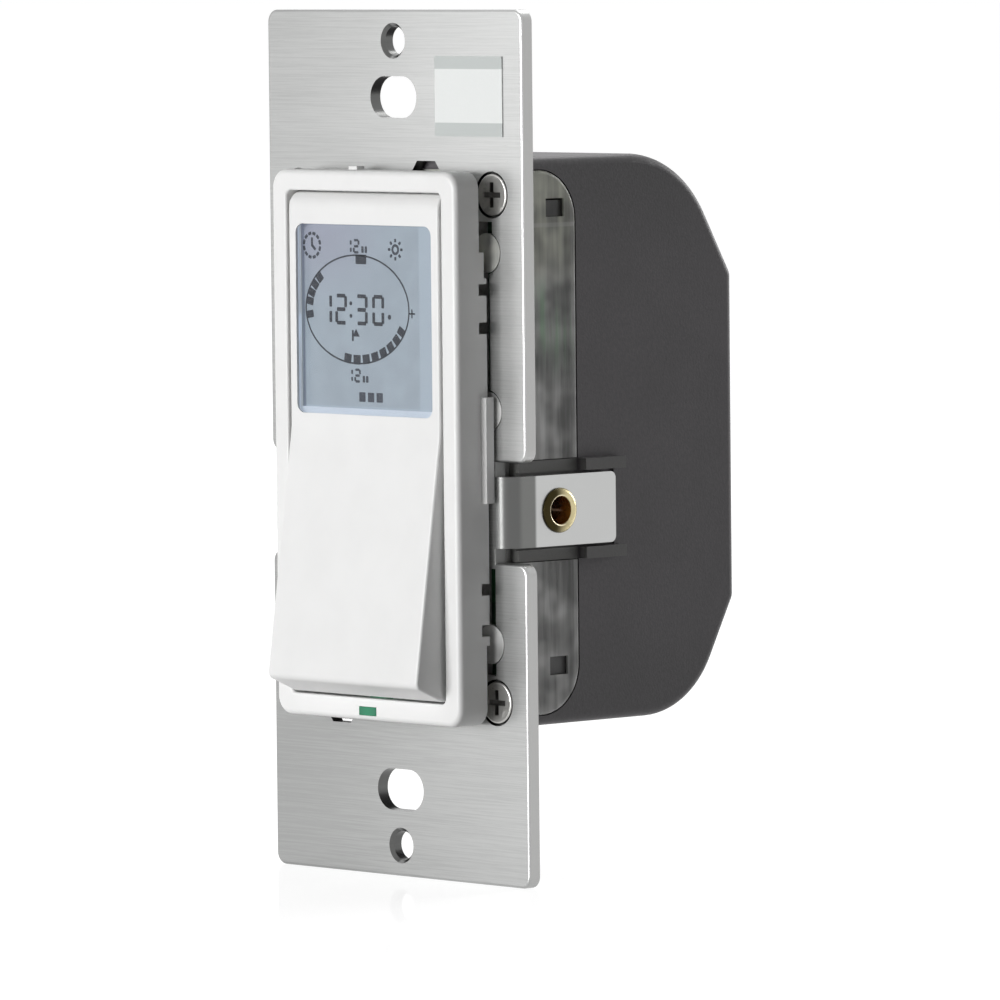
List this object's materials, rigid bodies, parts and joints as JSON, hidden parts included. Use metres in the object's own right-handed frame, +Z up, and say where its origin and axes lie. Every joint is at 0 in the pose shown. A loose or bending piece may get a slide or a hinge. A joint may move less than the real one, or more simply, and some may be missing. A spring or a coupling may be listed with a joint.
{
  "type": "timer light switch",
  "caption": "Wall-mounted timer light switch with a mounting strap, a hinged push pad that frames a display, programming buttons behind it and a deep rear housing",
  "frame": {"origin": "centre of the strap's back face, midway between the two plate screws", "axes": "+X right as seen from the room, +Y into the wall, +Z up"},
  "size_m": [0.0454, 0.0479, 0.1042],
  "materials": {
    "strap_metal": "brushed sheet, fine horizontal grain",
    "screw_metal": "plated screw",
    "eyelet_brass": "polished hollow rivet",
    "label_white": "blank film label",
    "face_white": "smooth moulded, semi-gloss",
    "carrier_white": "moulded",
    "window_clear": "clear polished window",
    "display_glass": "reflective display glass",
    "connector_rubber": "conductive rubber strip",
    "smoke_plastic": "smoke-coloured translucent moulding",
    "housing_black": "fine moulded texture",
    "board_green": "solder mask",
    "chip_black": "moulded package",
    "cell_steel": "plain cell can",
    "light_green": "translucent green",
    "switch_black": "moulded",
    "button_grey": "soft satin",
    "lever_nylon": "natural nylon",
    "pin_steel": "drawn pin",
    "relay_blue": "sealed relay case",
    "capacitor_sleeve": "shrink sleeve",
    "film_yellow": "moulded box",
    "choke_ferrite": "sleeved ferrite",
    "varistor_blue": "dipped coating",
    "terminal_brass": "machined"
  },
  "bodies": {
    "chassis": {"mounting_strap": "strap_metal", "strap_screws": "screw_metal", "side_eyelets": "eyelet_brass", "rating_label": "label_white", "bezel_frame": "face_white", "display_carrier": "carrier_white", "hinge_pin": "pin_steel", "pad_switch": "switch_black", "button_switches": "switch_black", "display_panel": "display_glass", "display_connectors": "connector_rubber", "display_board": "board_green", "timer_chip": "chip_black", "backup_cell": "cell_steel", "indicator_led": "light_green", "light_guide": "light_green", "middle_housing": "smoke_plastic", "rear_housing": "housing_black", "link_board": "board_green", "power_board": "board_green", "relay": "relay_blue", "filter_capacitors": "capacitor_sleeve", "film_capacitor": "film_yellow", "choke": "choke_ferrite", "varistor": "varistor_blue", "terminal_blocks": "terminal_brass", "terminal_screws": "screw_metal"},
    "lever": {"pad_lever": "lever_nylon"},
    "pad": {"push_pad": "face_white", "pad_window": "window_clear"},
    "plunger": {"pad_plunger": "switch_black"},
    "button_1": {"program_button_1": "button_grey"},
    "button_2": {"program_button_2": "button_grey"},
    "button_3": {"program_button_3": "button_grey"},
    "button_4": {"program_button_4": "button_grey"}
  },
  "joints": [
    {"name": "pad_press", "type": "hinge", "parent": "chassis", "child": "lever", "pos_m": [0, -0.005, 0.0285], "axis": [1, 0, 0], "range_deg": [0, 0.8], "stiffness_Nm_per_rad": 2, "springref_deg": -2.86},
    {"name": "pad_open", "type": "hinge", "parent": "lever", "child": "pad", "pos_m": [0, -0.005, 0.0285], "axis": [-1, 0, 0], "range_deg": [0, 60]},
    {"name": "plunger_slide", "type": "slide", "parent": "chassis", "child": "plunger", "axis": [0, 1, 0], "range_m": [0, 0.00085]},
    {"name": "button_1_press", "type": "slide", "parent": "chassis", "child": "button_1", "axis": [0, 1, 0], "range_m": [0, 0.0004], "stiffness_N_per_m": 300, "springref_m": -0.005},
    {"name": "button_2_press", "type": "slide", "parent": "chassis", "child": "button_2", "axis": [0, 1, 0], "range_m": [0, 0.0004], "stiffness_N_per_m": 300, "springref_m": -0.005},
    {"name": "button_3_press", "type": "slide", "parent": "chassis", "child": "button_3", "axis": [0, 1, 0], "range_m": [0, 0.0004], "stiffness_N_per_m": 300, "springref_m": -0.005},
    {"name": "button_4_press", "type": "slide", "parent": "chassis", "child": "button_4", "axis": [0, 1, 0], "range_m": [0, 0.0004], "stiffness_N_per_m": 300, "springref_m": -0.005}
  ],
  "couplings": [
    {"joint": "plunger_slide", "follows": "pad_press", "m_per_rad": 0.053}
  ]
}
